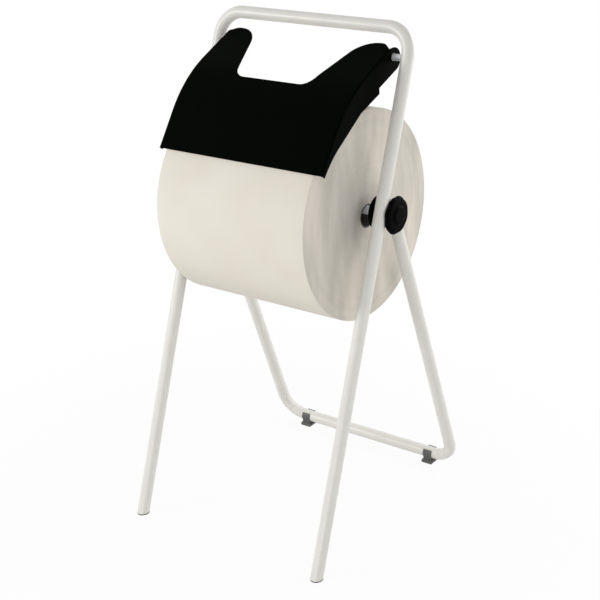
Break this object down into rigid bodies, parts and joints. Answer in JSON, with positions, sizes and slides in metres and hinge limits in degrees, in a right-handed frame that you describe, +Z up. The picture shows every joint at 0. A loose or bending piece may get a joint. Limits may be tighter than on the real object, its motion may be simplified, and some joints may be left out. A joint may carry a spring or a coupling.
{
  "type": "paper roll floor stand",
  "caption": "Folding floor stand of bent steel tube that carries a wide roll of wiping paper on a spindle between hand knobs, under a hinged tear-off guard.",
  "frame": {"origin": "on the floor, under the middle of the whole stand's box", "axes": "+X along the roll's axis, to the right for someone facing the guard's tear edge; +Y from the front feet to the rear bar; +Z up, along the stand's longest extent"},
  "size_m": [0.504, 0.538, 1.0025],
  "materials": {
    "white_powder_coat": "satin off-white powder coat on bent steel tube",
    "black_powder_coat": "fine-textured satin black powder coat on sheet steel",
    "black_plastic": "moulded black plastic with a faint grain",
    "grey_plastic": "moulded dark grey plastic",
    "zinc_plate": "bright zinc-plated steel",
    "brass": "turned brass",
    "natural_nylon": "natural nylon",
    "card": "spirally wound grey-brown card",
    "wiping_paper": "soft undyed wiping paper wound in hundreds of turns"
  },
  "bodies": {
    "front_frame": {"front_frame": "white_powder_coat", "front_foot_plug_left": "grey_plastic", "front_foot_plug_right": "grey_plastic", "hinge_bracket_left": "white_powder_coat", "hinge_bracket_right": "white_powder_coat", "spindle_bearing_left": "black_plastic", "spindle_bearing_right": "black_plastic", "guard_pivot_screw_left": "zinc_plate", "guard_pivot_screw_right": "zinc_plate", "guard_pivot_sleeve_left": "zinc_plate", "guard_pivot_sleeve_right": "zinc_plate", "guard_rivet_nut_left": "zinc_plate", "guard_rivet_nut_right": "zinc_plate"},
    "rear_frame": {"rear_frame": "white_powder_coat", "rear_hinge_knuckle_left": "white_powder_coat", "rear_hinge_knuckle_right": "white_powder_coat", "knuckle_pin_left": "zinc_plate", "knuckle_pin_right": "zinc_plate", "rear_foot_clip_left": "grey_plastic", "rear_foot_clip_right": "grey_plastic"},
    "guard": {"guard": "black_powder_coat", "guard_bush_left": "natural_nylon", "guard_bush_right": "natural_nylon"},
    "spindle": {"spindle_tube": "zinc_plate", "spindle_stud_left": "zinc_plate", "spindle_stud_right": "zinc_plate", "knob_washer_left": "zinc_plate", "knob_washer_right": "zinc_plate"},
    "knob_left": {"knob_left": "black_plastic", "knob_insert_left": "brass"},
    "knob_right": {"knob_right": "black_plastic", "knob_insert_right": "brass"},
    "roll": {"paper_roll": "wiping_paper", "roll_core": "card"}
  },
  "joints": [
    {"name": "rear_fold", "type": "hinge", "parent": "front_frame", "child": "rear_frame", "pos_m": [0, 0.01896, 0.6585], "axis": [-1, 0, 0], "range_deg": [0, 39.6]},
    {"name": "guard_lift", "type": "hinge", "parent": "front_frame", "child": "guard", "pos_m": [0, 0.09148, 0.939], "axis": [-1, 0, 0], "range_deg": [0, 85]},
    {"name": "spindle_spin", "type": "hinge", "parent": "front_frame", "child": "spindle", "pos_m": [0, 0.01896, 0.6585], "axis": [1, 0, 0], "continuous": true},
    {"name": "knob_left_unscrew", "type": "hinge", "parent": "spindle", "child": "knob_left", "pos_m": [0, 0.01896, 0.6585], "axis": [-1, 0, 0], "continuous": true},
    {"name": "knob_right_unscrew", "type": "hinge", "parent": "spindle", "child": "knob_right", "pos_m": [0, 0.01896, 0.6585], "axis": [1, 0, 0], "continuous": true},
    {"name": "roll_spin", "type": "hinge", "parent": "front_frame", "child": "roll", "pos_m": [0, 0.01896, 0.6463], "axis": [1, 0, 0], "continuous": true}
  ]
}
